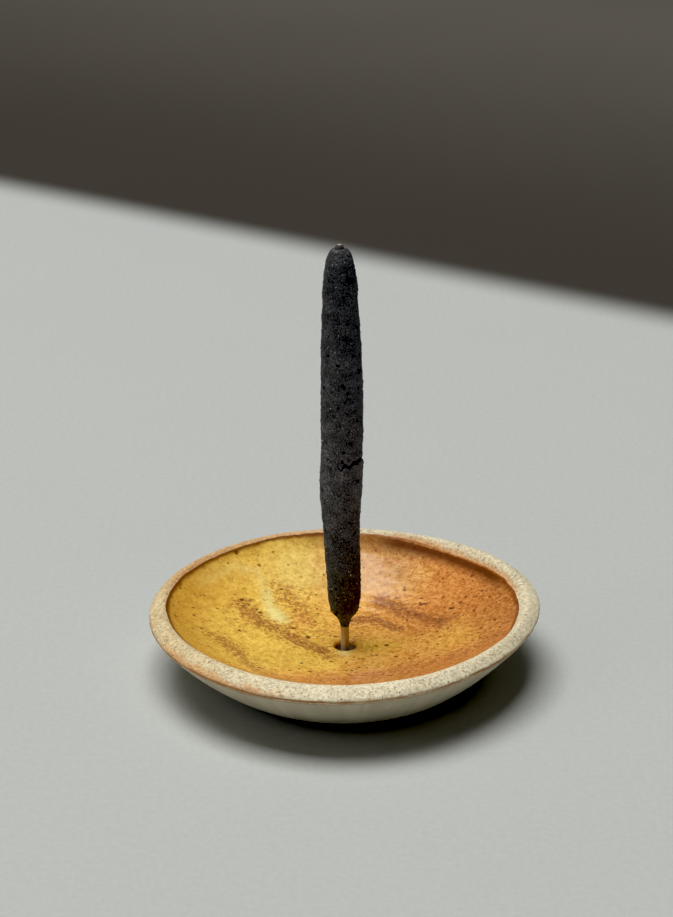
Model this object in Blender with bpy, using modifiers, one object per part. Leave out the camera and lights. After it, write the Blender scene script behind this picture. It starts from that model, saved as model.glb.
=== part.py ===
"""Incense burner: a small hand-thrown stoneware dish with a blind socket at its centre, and the thick
charcoal incense stick that stands in the socket.

Units: the constants are millimetres and degrees, the scene is metres. +Z is up. The origin is the centre of
the dish's flat base. The front of the dish is at -Y.

Sub-parts (one object each)
    dish_body      the stoneware body, with its rim land, foot and socket
    inner_glaze    the amber coat in the well
    outer_glaze    the pale coat on the underside
    bamboo_core    the splint that stands in the socket
    incense_paste  the charcoal paste round the splint
"""

import math

import bmesh
import bpy
from mathutils import Matrix

MM = 0.001

# ---------------------------------------------------------------- driving dimensions (mm, degrees)
RIM_RADIUS = 45.28  # mean radius of the rim's outer corner
RIM_CORNER_Z = 15.2  # height of that corner
CREST_RADIUS = 42.4  # top of the rim
CREST_Z = 17.25
GLAZE_LINE_RADIUS = 40.6  # where the inner coat meets the bare rim land
GLAZE_LINE_Z = 16.5
RIM_TILT = 0.5  # the rim is this much higher at +X and lower at -X
FLOOR_Z = 6.3  # inside floor at the centre
WELL_RISE = 8.2  # how far the well rises between the centre and WELL_RISE_RADIUS
WELL_RISE_RADIUS = 38.0
WELL_POWER = 2.4
FOOT_RADIUS = 24.5  # flat base

INNER_GLAZE = 0.5  # thickness of the inner coat
OUTER_GLAZE = 0.4  # thickness of the outer coat
GAP = 0.3  # clearance between touching solids

SOCKET_RADIUS = 1.25  # parallel part of the blind socket
SOCKET_BOTTOM_Z = 1.7
SOCKET_NECK_Z = 3.5  # where the parallel part ends and the countersink starts
SOCKET_MOUTH_RADIUS = 2.45
GLAZE_MOUTH_RADIUS = 2.9  # the inner coat stops here, rounded

CORE_RADIUS = 0.935
CORE_TOP_Z = 104.1
CORE_BOTTOM_Z = SOCKET_BOTTOM_Z + GAP
STICK_LEAN = 0.8  # degrees, towards -X
PASTE_BORE_RADIUS = CORE_RADIUS + 0.17
STICK_LIFT = 30.0  # travel that takes the splint clear of the dish

STEPS_DISH = 56
STEPS_PASTE = 24
STEPS_CORE = 16


# ---------------------------------------------------------------- hand-thrown irregularity
def outline(a):
    """Radius of the rim's outer corner at angle a (radians from +X)."""
    return (
        RIM_RADIUS
        + 0.91 * math.cos(a - math.radians(117))
        + 0.65 * math.cos(2 * a - math.radians(91))
        + 0.60 * math.cos(3 * a - math.radians(66))
        + 0.22 * math.cos(4 * a - math.radians(30))
    )


def land_width(a):
    """Width of the bare rim land, seen from above."""
    return 4.7 + 1.15 * math.cos(2 * a - math.radians(130))


def glaze_line_drop(a):
    """How far below the crest the inner coat ends: it runs deeper at the back right."""
    return 0.75 + 1.1 * max(0.0, math.cos(a - math.radians(50))) ** 2


def tilt(a):
    return RIM_TILT * math.cos(a)


def smooth(t):
    t = min(1.0, max(0.0, t))
    return t * t * (3 - 2 * t)


def dish_warp(r, z, a):
    """Takes a point of the true turned shape to the hand-thrown one. A point below the middle of the wall
    follows the rim's corner, and a point above it follows the glaze line."""
    d_corner = outline(a) - RIM_RADIUS
    d_line = outline(a) - land_width(a) - GLAZE_LINE_RADIUS
    d_line_z = CREST_Z - glaze_line_drop(a) - GLAZE_LINE_Z
    if z < well_z(r) - 3.2:
        t = smooth((r - FOOT_RADIUS) / (RIM_RADIUS - FOOT_RADIUS))
        return r + t * d_corner, z + t * tilt(a), 0.0
    if r <= GLAZE_LINE_RADIUS:
        t = smooth((r - 12.0) / (GLAZE_LINE_RADIUS - 12.0))
        return r + t * d_line, z + t * (tilt(a) + d_line_z), 0.0
    t = min(1.0, (r - GLAZE_LINE_RADIUS) / (RIM_RADIUS - 0.6 - GLAZE_LINE_RADIUS))
    s = min(1.0, (r - GLAZE_LINE_RADIUS) / (CREST_RADIUS - GLAZE_LINE_RADIUS))
    return r + d_line + t * (d_corner - d_line), z + tilt(a) + (1 - s) * d_line_z, 0.0


# ---------------------------------------------------------------- profiles (radius, height), in mm
def well_z(r):
    return FLOOR_Z + WELL_RISE * (r / WELL_RISE_RADIUS) ** WELL_POWER


def well_normal(r):
    """Unit normal of the well surface, pointing up out of the clay."""
    slope = WELL_RISE * WELL_POWER / WELL_RISE_RADIUS * (r / WELL_RISE_RADIUS) ** (WELL_POWER - 1)
    n = math.hypot(slope, 1)
    return -slope / n, 1 / n


def well_point(r, depth):
    nr, nz = well_normal(r)
    return r - nr * depth, well_z(r) - nz * depth


UNDERSIDE = (  # the coated underside, from just below the rim's corner to just above the foot
    (44.6, 14.3),
    (43.0, 12.6),
    (40.0, 9.6),
    (36.0, 6.1),
    (32.2, 3.25),
    (29.2, 1.5),
)


def offset_line(points, depth):
    """A line that runs down the outside, moved into the clay by depth."""
    out = []
    for i, (r, z) in enumerate(points):
        r0, z0 = points[max(0, i - 1)]
        r1, z1 = points[min(len(points) - 1, i + 1)]
        length = math.hypot(r1 - r0, z1 - z0)
        out.append((r + (z1 - z0) / length * depth, z - (r1 - r0) / length * depth))
    return out


WELL_STATIONS = (37.6, 34.5, 31.0, 27.0, 22.5, 18.0, 13.0, 8.0, 4.6)


def dish_profile():
    """From the socket's bottom on the axis, out over the rim and down to the base on the axis."""
    recess = INNER_GLAZE + GAP
    pts = [
        (0.0, SOCKET_BOTTOM_Z),
        (SOCKET_RADIUS, SOCKET_BOTTOM_Z),
        (SOCKET_RADIUS, SOCKET_NECK_Z),
        (SOCKET_MOUTH_RADIUS, FLOOR_Z - recess - 0.15),
        (SOCKET_MOUTH_RADIUS + 0.35, FLOOR_Z - recess),
    ]
    pts += [well_point(r, recess) for r in reversed(WELL_STATIONS)]
    pts += [
        (GLAZE_LINE_RADIUS - 0.05, GLAZE_LINE_Z - 0.95),
        (GLAZE_LINE_RADIUS + 0.15, GLAZE_LINE_Z + 0.08),
        (CREST_RADIUS - 0.9, CREST_Z - 0.12),
        (CREST_RADIUS, CREST_Z),
        (CREST_RADIUS + 1.4, CREST_Z - 0.35),
        (RIM_RADIUS - 0.35, CREST_Z - 1.25),
        (RIM_RADIUS, RIM_CORNER_Z),
        (RIM_RADIUS - 0.23, RIM_CORNER_Z - 0.25),
        (RIM_RADIUS - 0.68, RIM_CORNER_Z - 0.22),
    ]
    pts += offset_line(UNDERSIDE, OUTER_GLAZE + GAP)
    pts += [
        (FOOT_RADIUS + 2.85, 1.45),
        (FOOT_RADIUS + 2.75, 0.72),
        (FOOT_RADIUS + 1.5, 0.28),
        (FOOT_RADIUS, 0.0),
        (0.0, 0.0),
    ]
    return pts


def inner_glaze_profile():
    """A closed loop: up round the socket's mouth, out along the coat's face, and back along its underside."""
    mouth = [
        (GLAZE_MOUTH_RADIUS, FLOOR_Z - INNER_GLAZE * 0.75),
        (GLAZE_MOUTH_RADIUS + 0.35, FLOOR_Z - 0.08),
    ]
    face = [well_point(r, 0.0) for r in reversed(WELL_STATIONS)]
    face += [(GLAZE_LINE_RADIUS - 0.3, GLAZE_LINE_Z - 0.12)]
    under = [(GLAZE_LINE_RADIUS - 0.42, GLAZE_LINE_Z - 0.5)]
    under += [well_point(r, INNER_GLAZE) for r in WELL_STATIONS]
    under += [(GLAZE_MOUTH_RADIUS + 0.15, FLOOR_Z - INNER_GLAZE)]
    return mouth + face + under


def outer_glaze_profile():
    """A closed loop: down the coat's face to just above the foot, and back up against the clay."""
    face = [(RIM_RADIUS - 0.28, RIM_CORNER_Z - 0.58)]
    face += list(UNDERSIDE)
    face += [(FOOT_RADIUS + 3.15, 0.86)]
    back = [(RIM_RADIUS - 0.53, RIM_CORNER_Z - 0.58)]
    back += offset_line(UNDERSIDE, OUTER_GLAZE)
    back += [(FOOT_RADIUS + 3.22, 1.22)]
    return face + list(reversed(back))


PASTE_STATIONS = (  # height, radius, top to bottom
    (103.2, 1.45),
    (102.7, 1.95),
    (101.9, 2.45),
    (100.8, 2.9),
    (99.0, 3.35),
    (96.0, 3.72),
    (91.0, 4.02),
    (84.0, 4.36),
    (77.0, 4.55),
    (69.0, 4.76),
    (62.0, 4.76),
    (55.5, 4.68),
    (49.0, 4.8),
    (43.0, 4.6),
    (37.0, 4.25),
    (30.0, 4.05),
    (22.0, 3.88),
    (17.5, 3.55),
    (15.7, 3.22),
    (14.7, 2.6),
    (13.7, 1.8),
    (12.7, 1.38),
)


def paste_profile():
    """A closed loop: down the paste's outer side, and back up its bore."""
    outer = [(r, z) for z, r in PASTE_STATIONS]
    return outer + [(PASTE_BORE_RADIUS, z) for z in (PASTE_STATIONS[-1][0], 58.0, PASTE_STATIONS[0][0])]


def paste_shift(z):
    """The paste is a little off the splint's line: it bulges towards -X in its lower half."""
    return -0.5 * math.exp(-(((z - 40) / 13) ** 2)) + 0.08 * math.exp(-(((z - 72) / 9) ** 2))


def paste_warp(r, z, a):
    """The rolled paste is a little oval and wanders off the splint, but its bore is true."""
    if r < PASTE_BORE_RADIUS + 0.1:
        return r, z, 0.0
    return r * (1 + 0.012 * math.cos(2 * a + z / 9.0)), z, paste_shift(z)


# ---------------------------------------------------------------- modelling tools
def collection(name):
    c = bpy.data.collections.new(name)
    bpy.context.scene.collection.children.link(c)
    return c


def material(name, colour, roughness, metallic=0.0):
    m = bpy.data.materials.new(name)
    m.use_nodes = True
    shader = next(n for n in m.node_tree.nodes if n.type == "BSDF_PRINCIPLED")
    shader.inputs["Base Color"].default_value = (*colour, 1.0)
    shader.inputs["Roughness"].default_value = roughness
    shader.inputs["Metallic"].default_value = metallic
    m.diffuse_color = (*colour, 1.0)
    return m


def turned(name, profile, steps, closed, mat, where, warp):
    """A Screw modifier turns the profile about Z, and warp takes the true round shape to the real one."""
    line = bpy.data.meshes.new(name + "_profile")
    edges = [(i, i + 1) for i in range(len(profile) - 1)]
    if closed:
        edges.append((len(profile) - 1, 0))
    line.from_pydata([(r * MM, 0.0, z * MM) for r, z in profile], edges, [])
    turning = bpy.data.objects.new(name + "_turning", line)
    where.objects.link(turning)
    screw = turning.modifiers.new("turn", "SCREW")
    screw.steps = steps
    screw.render_steps = steps
    screw.use_merge_vertices = True
    screw.merge_threshold = 0.00001
    screw.use_smooth_shade = True
    bpy.context.view_layer.update()
    depsgraph = bpy.context.evaluated_depsgraph_get()
    mesh = bpy.data.meshes.new_from_object(turning.evaluated_get(depsgraph))
    bpy.data.objects.remove(turning)
    mesh.name = name
    bm = bmesh.new()
    bm.from_mesh(mesh)
    bmesh.ops.remove_doubles(bm, verts=bm.verts, dist=0.000002)
    for v in bm.verts:
        r, z, a = math.hypot(v.co.x, v.co.y) / MM, v.co.z / MM, math.atan2(v.co.y, v.co.x)
        if r > 0.001:
            r, z, shift = warp(r, z, a)
            v.co = ((r * math.cos(a) + shift) * MM, r * math.sin(a) * MM, z * MM)
    bm.to_mesh(mesh)
    bm.free()
    mesh.materials.clear()
    mesh.materials.append(mat)
    mesh.shade_smooth()
    mesh.set_sharp_from_angle(angle=math.radians(40))
    o = bpy.data.objects.new(name, mesh)
    where.objects.link(o)
    return o


# ---------------------------------------------------------------- the model
for old in list(bpy.data.objects):
    bpy.data.objects.remove(old)

burner = collection("incense_burner")

stoneware = material("stoneware", (0.50, 0.43, 0.32), 0.85)
amber = material("amber_glaze", (0.52, 0.24, 0.05), 0.25)
pale = material("pale_glaze", (0.46, 0.45, 0.37), 0.42)
bamboo = material("bamboo", (0.34, 0.23, 0.15), 0.7)
charcoal = material("charcoal_paste", (0.018, 0.018, 0.019), 0.9)

dish = turned("dish_body", dish_profile(), STEPS_DISH, False, stoneware, burner, dish_warp)
turned("inner_glaze", inner_glaze_profile(), STEPS_DISH, True, amber, burner, dish_warp)
turned("outer_glaze", outer_glaze_profile(), STEPS_DISH, True, pale, burner, dish_warp)

# The stick's parts hang on an empty that stands on the socket's bottom, on the slide's axis, and leans.
stick_axis = bpy.data.objects.new("stick_axis", None)
stick_axis.location = (0.0, 0.0, CORE_BOTTOM_Z * MM)
stick_axis.rotation_euler = (0.0, -math.radians(STICK_LEAN), 0.0)
stick_axis.empty_display_size = 0.02
burner.objects.link(stick_axis)

bpy.ops.mesh.primitive_cylinder_add(
    vertices=STEPS_CORE,
    radius=CORE_RADIUS * MM,
    depth=(CORE_TOP_Z - CORE_BOTTOM_Z) * MM,
    location=(0, 0, 0),
)
core = bpy.context.active_object
core.name = core.data.name = "bamboo_core"
core.data.transform(Matrix.Translation((0, 0, (CORE_TOP_Z - CORE_BOTTOM_Z) / 2 * MM)))
core.data.materials.append(bamboo)
for c in list(core.users_collection):
    c.objects.unlink(core)
burner.objects.link(core)
rounding = core.modifiers.new("round_ends", "BEVEL")
rounding.width = 0.22 * MM
rounding.segments = 2
rounding.limit_method = "ANGLE"
rounding.angle_limit = math.radians(60)
core.data.shade_smooth()
core.data.set_sharp_from_angle(angle=math.radians(40))
core.parent = stick_axis

paste = turned("incense_paste", paste_profile(), STEPS_PASTE, True, charcoal, burner, paste_warp)
paste.data.transform(Matrix.Translation((0, 0, -CORE_BOTTOM_Z * MM)))
paste.parent = stick_axis

bpy.context.view_layer.update()
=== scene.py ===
"""Looks of the incense burner: a hand-thrown stoneware dish, glazed amber inside and pale outside, with a
thick charcoal incense stick standing in its socket. Lengths in the shape functions are millimetres."""

import math

import bmesh
import bpy
import numpy as np
from mathutils import Euler, Matrix, Vector


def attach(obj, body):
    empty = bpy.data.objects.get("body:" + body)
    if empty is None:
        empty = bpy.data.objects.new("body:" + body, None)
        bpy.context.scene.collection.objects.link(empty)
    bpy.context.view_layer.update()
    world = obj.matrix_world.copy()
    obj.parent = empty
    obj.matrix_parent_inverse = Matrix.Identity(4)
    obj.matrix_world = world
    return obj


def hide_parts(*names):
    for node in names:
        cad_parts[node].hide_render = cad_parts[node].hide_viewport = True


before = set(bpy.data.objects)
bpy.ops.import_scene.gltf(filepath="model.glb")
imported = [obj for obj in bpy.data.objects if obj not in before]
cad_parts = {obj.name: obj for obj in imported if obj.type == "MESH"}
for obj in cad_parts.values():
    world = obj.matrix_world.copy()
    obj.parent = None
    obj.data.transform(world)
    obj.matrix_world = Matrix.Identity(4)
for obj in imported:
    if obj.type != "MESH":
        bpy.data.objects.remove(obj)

MM = 0.001
TAU = 2 * math.pi
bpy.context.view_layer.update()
scene = bpy.context.scene


# =============================================================== camera, light, floor
def make_camera():
    data = bpy.data.cameras.new("camera")
    data.lens = 94.22
    data.sensor_width = 36.0
    data.clip_start = 0.01
    data.clip_end = 50.0
    cam = bpy.data.objects.new("camera", data)
    cam.location = (-0.00206, -0.503504, 0.259478)
    cam.rotation_euler = (math.radians(67.7527), 0.0, 0.0)
    scene.collection.objects.link(cam)
    scene.camera = cam
    return cam


def area_light(name, direction, distance, size_x, size_y, watts, colour, roll=0.0, target=(0, 0, 0.01)):
    """A soft box that looks at the target from the given direction."""
    data = bpy.data.lights.new(name, "AREA")
    data.shape = "RECTANGLE"
    data.size = size_x
    data.size_y = size_y
    data.energy = watts
    data.color = colour
    light = bpy.data.objects.new(name, data)
    d = Vector(direction).normalized()
    light.location = Vector(target) + d * distance
    light.rotation_euler = (d.to_track_quat("Z", "Y") @ Euler((0, 0, roll)).to_quaternion()).to_euler()
    scene.collection.objects.link(light)
    return light


def strip_light(name, start, end, distance, width, watts, colour):
    """A long soft box between two directions, seen only as a reflection in the glaze."""
    a, b = Vector(start).normalized() * distance, Vector(end).normalized() * distance
    z = ((a + b) / 2).normalized()
    y = (b - a) - (b - a).dot(z) * z
    y.normalize()
    light = area_light(name, z, distance, width, (b - a).length, watts, colour)
    light.rotation_euler = Matrix((y.cross(z), y, z)).transposed().to_euler()
    light.visible_diffuse = False
    return light


make_camera()
scene.view_settings.view_transform = "Standard"
scene.view_settings.look = "None"
scene.view_settings.use_curve_mapping = True
scene.view_settings.curve_mapping.black_level = (0.019, 0.0186, 0.0156)
scene.view_settings.curve_mapping.update()

world = bpy.data.worlds.new("studio")
world.use_nodes = True
world.node_tree.nodes["Background"].inputs["Color"].default_value = (0.92, 0.96, 1.0, 1.0)
world.node_tree.nodes["Background"].inputs["Strength"].default_value = 0.008
scene.world = world

key = area_light("key_overhead", (-0.15, 0.06, 1.0), 3.0, 1.85, 2.1, 93.0, (1.0, 0.99, 0.965))
key.visible_glossy = False
area_light("left_soft", (-0.85, -0.28, 0.55), 2.5, 1.3, 1.1, 4.6, (1.0, 0.99, 0.98))
strip_light("window_strip", (-0.065, 0.04, 1.0), (-0.065, 0.68, 0.72), 2.4, 0.30, 7.8, (1.0, 0.97, 0.96))


# =============================================================== numpy noise
def _hash(ix, iy, iz, seed):
    h = (
        ix.astype(np.uint32) * np.uint32(374761393)
        + iy.astype(np.uint32) * np.uint32(668265263)
        + iz.astype(np.uint32) * np.uint32(2147483647)
        + np.uint32(seed * 2654435 + 12345)
    )
    h = (h ^ (h >> np.uint32(13))) * np.uint32(1274126177)
    h = (h ^ (h >> np.uint32(16))) * np.uint32(2246822519)
    return (h ^ (h >> np.uint32(15))).astype(np.float64) / 4294967295.0


def vnoise(x, y, z, scale, seed=0):
    """Smooth value noise between -1 and 1; scale is the size of a feature."""
    x, y, z = (np.asarray(c, float) / scale for c in (x, y, z))
    x, y, z = np.broadcast_arrays(x, y, z)
    ix, iy, iz = (np.floor(c).astype(np.int64) for c in (x, y, z))
    fx, fy, fz = x - ix, y - iy, z - iz
    fx, fy, fz = (f * f * f * (f * (f * 6 - 15) + 10) for f in (fx, fy, fz))
    out = 0.0
    for dx in (0, 1):
        for dy in (0, 1):
            for dz in (0, 1):
                w = (fx if dx else 1 - fx) * (fy if dy else 1 - fy) * (fz if dz else 1 - fz)
                out = out + w * _hash(ix + dx, iy + dy, iz + dz, seed)
    return out * 2 - 1


def fbm(x, y, z, scale, octaves=4, gain=0.5, seed=0):
    total, amp, norm = 0.0, 1.0, 0.0
    for k in range(octaves):
        total = total + amp * vnoise(x, y, z, scale / 2**k, seed + 17 * k)
        norm += amp
        amp *= gain
    return total / norm


def cells(x, y, z, scale, seed=0):
    """Distance to the nearest scattered point, in units of scale, and that point's own random number."""
    x, y, z = (np.asarray(c, float) / scale for c in (x, y, z))
    x, y, z = np.broadcast_arrays(x, y, z)
    ix, iy, iz = (np.floor(c).astype(np.int64) for c in (x, y, z))
    best = np.full(x.shape, 9.0)
    rand = np.zeros(x.shape)
    for dx in (-1, 0, 1):
        for dy in (-1, 0, 1):
            for dz in (-1, 0, 1):
                jx, jy, jz = ix + dx, iy + dy, iz + dz
                px = jx + _hash(jx, jy, jz, seed + 1)
                py = jy + _hash(jx, jy, jz, seed + 2)
                pz = jz + _hash(jx, jy, jz, seed + 3)
                d = np.sqrt((px - x) ** 2 + (py - y) ** 2 + (pz - z) ** 2)
                nearer = d < best
                best = np.where(nearer, d, best)
                rand = np.where(nearer, _hash(jx, jy, jz, seed + 4), rand)
    return best, rand


def smooth(lo, hi, v):
    t = np.clip((np.asarray(v, float) - lo) / (hi - lo), 0, 1)
    return t * t * (3 - 2 * t)


def blob(x, y, cx, cy, rad):
    return np.exp(-(((x - cx) ** 2 + (y - cy) ** 2) / rad**2))


def stroke(x, y, points, width):
    """How near (x, y) is to a painted stroke through the points: 1 on it, falling off over its width."""
    best = np.full(np.broadcast(x, y).shape, 1e9)
    for (ax, ay), (bx, by) in zip(points[:-1], points[1:]):
        dx, dy = bx - ax, by - ay
        t = np.clip(((x - ax) * dx + (y - ay) * dy) / (dx * dx + dy * dy), 0, 1)
        best = np.minimum(best, (x - ax - t * dx) ** 2 + (y - ay - t * dy) ** 2)
    return np.exp(-best / width**2)


# =============================================================== the dish's shape (as in the CAD)
RIM_RADIUS = 45.28
CREST_RADIUS = 42.4
CREST_Z = 17.25
LINE_RADIUS = 40.6
LINE_Z = 16.5
FOOT_RADIUS = 24.5


def outline(a):
    return (
        RIM_RADIUS
        + 0.91 * np.cos(a - math.radians(117))
        + 0.65 * np.cos(2 * a - math.radians(91))
        + 0.60 * np.cos(3 * a - math.radians(66))
        + 0.22 * np.cos(4 * a - math.radians(30))
        + 0.25 * angle_band(a, 290, 338, 13)
    )


def land_width(a):
    return 4.7 + 1.15 * np.cos(2 * a - math.radians(130)) + 0.8 * angle_band(a, -14, 22, 13) + 0.25 * angle_band(a, 290, 338, 13)


def line_drop(a):
    return 0.75 + 1.1 * np.maximum(0.0, np.cos(a - math.radians(50))) ** 2


def warp(r, z, a, outside):
    """Takes the true turned shape to the hand-thrown one. r, z and a are grids; outside is a flag a row."""
    out = outline(a)
    d_corner = out - RIM_RADIUS
    d_line = out - land_width(a) - LINE_RADIUS
    d_line_z = CREST_Z - line_drop(a) - LINE_Z
    tilt = 0.5 * np.cos(a)
    t_out = smooth(0, 1, (r - FOOT_RADIUS) / (RIM_RADIUS - FOOT_RADIUS))
    t_in = smooth(0, 1, (r - 12.0) / (LINE_RADIUS - 12.0))
    t_lip = np.clip((r - LINE_RADIUS) / (RIM_RADIUS - 0.6 - LINE_RADIUS), 0, 1)
    s_lip = np.clip((r - LINE_RADIUS) / (CREST_RADIUS - LINE_RADIUS), 0, 1)
    lip = r > LINE_RADIUS
    r_in = np.where(lip, r + d_line + t_lip * (d_corner - d_line), r + t_in * d_line)
    z_in = np.where(lip, z + tilt + (1 - s_lip) * d_line_z, z + t_in * (tilt + d_line_z))
    return (
        np.where(outside, r + t_out * d_corner, r_in),
        np.where(outside, z + t_out * tilt, z_in),
    )


def well_z(r):
    return 6.3 + 8.2 * (r / 38.0) ** 2.4


def catmull(points, step):
    """A smooth line through the points, sampled about every step."""
    p = np.array([points[0], *points, points[-1]], float)
    p[0] = 2 * p[1] - p[2]
    p[-1] = 2 * p[-2] - p[-3]
    out = []
    for i in range(1, len(p) - 2):
        n = max(2, int(np.ceil(np.linalg.norm(p[i + 1] - p[i]) / step)))
        for t in np.linspace(0, 1, n, endpoint=False):
            out.append(
                0.5
                * (
                    2 * p[i]
                    + (p[i + 1] - p[i - 1]) * t
                    + (2 * p[i - 1] - 5 * p[i] + 4 * p[i + 1] - p[i + 2]) * t**2
                    + (3 * p[i] - p[i - 1] - 3 * p[i + 1] + p[i + 2]) * t**3
                )
            )
    out.append(p[-2])
    return np.array(out)


SKIN_POINTS = (
    [(2.45, 5.2), (2.5, 5.62), (2.62, 5.97), (2.9, 6.27), (3.3, 6.4), (3.8, 6.41), (4.6, 6.37), (5.8, 6.38)]
    + [(r, float(well_z(r))) for r in (8, 11, 14, 17, 20, 23, 26, 29, 32, 34.5, 36.6)]
    + [(38.4, 14.83), (39.6, 15.75), (40.3, 16.38), (40.9, 16.82), (41.5, 17.12), (42.1, 17.22)]
    + [(42.8, 17.1), (43.5, 16.78), (44.2, 16.38), (44.8, 15.98), (45.14, 15.62), (45.27, 15.25), (45.2, 14.95)]
    + [(44.98, 14.66), (44.3, 13.98), (43.0, 12.6), (40.0, 9.6), (36.0, 6.1), (32.2, 3.25), (29.2, 1.5)]
    + [(27.5, 0.78), (26.3, 0.36), (25.3, 0.1), (24.4, 0.0)]
)
SKIN = catmull(SKIN_POINTS, 0.08)
SKIN_U = np.concatenate([[0], np.cumsum(np.linalg.norm(np.diff(SKIN, axis=0), axis=1))])
_t = np.gradient(SKIN, axis=0)
_t /= np.linalg.norm(_t, axis=1)[:, None]
SKIN_N = np.stack([-_t[:, 1], _t[:, 0]], axis=1)


def u_near(r, z):
    return float(SKIN_U[np.argmin((SKIN[:, 0] - r) ** 2 + (SKIN[:, 1] - z) ** 2)])


U_LINE = u_near(40.6, 16.55)
U_CREST = u_near(42.1, 17.22)
U_CORNER = u_near(45.27, 15.2)
U_UNDER = u_near(45.0, 14.68)
U_FOOT = u_near(27.5, 0.78)
U_BASE = float(SKIN_U[-1])


def angle_band(a, start, end, soft):
    """1 between two angles in degrees, going counter-clockwise, with soft ends."""
    mid = math.radians((start + end) / 2)
    half = math.radians((end - start) / 2)
    away = np.abs((a - mid + math.pi) % TAU - math.pi)
    return 1 - smooth(half - math.radians(soft), half + math.radians(soft), away)


def glaze_edge(a):
    """Arc length at which the inner glaze ends; at the back it runs up on to the crest of the rim."""
    ca, sa = np.cos(a) * 40, np.sin(a) * 40
    wander = 0.14 * vnoise(ca, sa, 0 * a, 4.0, seed=71) + 0.10 * vnoise(ca, sa, 0 * a, 1.1, seed=73)
    return U_LINE + 0.1 + wander + 1.15 * angle_band(a, 62, 122, 18) + 0.25 * angle_band(a, 122, 200, 25)


def skin(u, height=0.0):
    """The point of the visible skin at arc length u, raised along its normal. Works on grids."""
    nr, nz = np.interp(u, SKIN_U, SKIN_N[:, 0]), np.interp(u, SKIN_U, SKIN_N[:, 1])
    return (
        np.interp(u, SKIN_U, SKIN[:, 0]) + nr * height,
        np.interp(u, SKIN_U, SKIN[:, 1]) + nz * height,
    )


# =============================================================== mesh tools
def grid_mesh(name, x, y, z, closed, pole_start=None, pole_end=None):
    """A mesh from grids in mm whose rows run along a profile and whose columns go once round."""
    rows, cols = x.shape
    verts = np.stack([x, y, z], axis=-1).reshape(-1, 3) * MM
    i = np.arange(rows if closed else rows - 1)[:, None]
    j = np.arange(cols)[None, :]
    i2, j2 = (i + 1) % rows, (j + 1) % cols
    quads = np.stack([i * cols + j, i2 * cols + j, i2 * cols + j2, i * cols + j2], axis=-1).reshape(-1, 4)
    faces = quads.tolist()
    extra = []
    if pole_start is not None:
        extra.append(pole_start)
        k = rows * cols
        faces += [(k, jj, (jj + 1) % cols) for jj in range(cols)]
    if pole_end is not None:
        extra.append(pole_end)
        k = rows * cols + len(extra) - 1
        base = (rows - 1) * cols
        faces += [(k, base + (jj + 1) % cols, base + jj) for jj in range(cols)]
    if extra:
        verts = np.concatenate([verts, np.array(extra, float) * MM])
    mesh = bpy.data.meshes.new(name)
    mesh.from_pydata(verts.tolist(), [], faces)
    mesh.validate()
    mesh.shade_smooth()
    o = bpy.data.objects.new(name, mesh)
    scene.collection.objects.link(o)
    return o


def paint(o, name, values, extra=0):
    """Stores one number a vertex, such as how worn or how dark the surface is there."""
    flat = np.concatenate([np.asarray(values, float).reshape(-1), np.zeros(extra)])
    layer = o.data.attributes.new(name, "FLOAT", "POINT")
    layer.data.foreach_set("value", flat.astype(np.float32))


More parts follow.
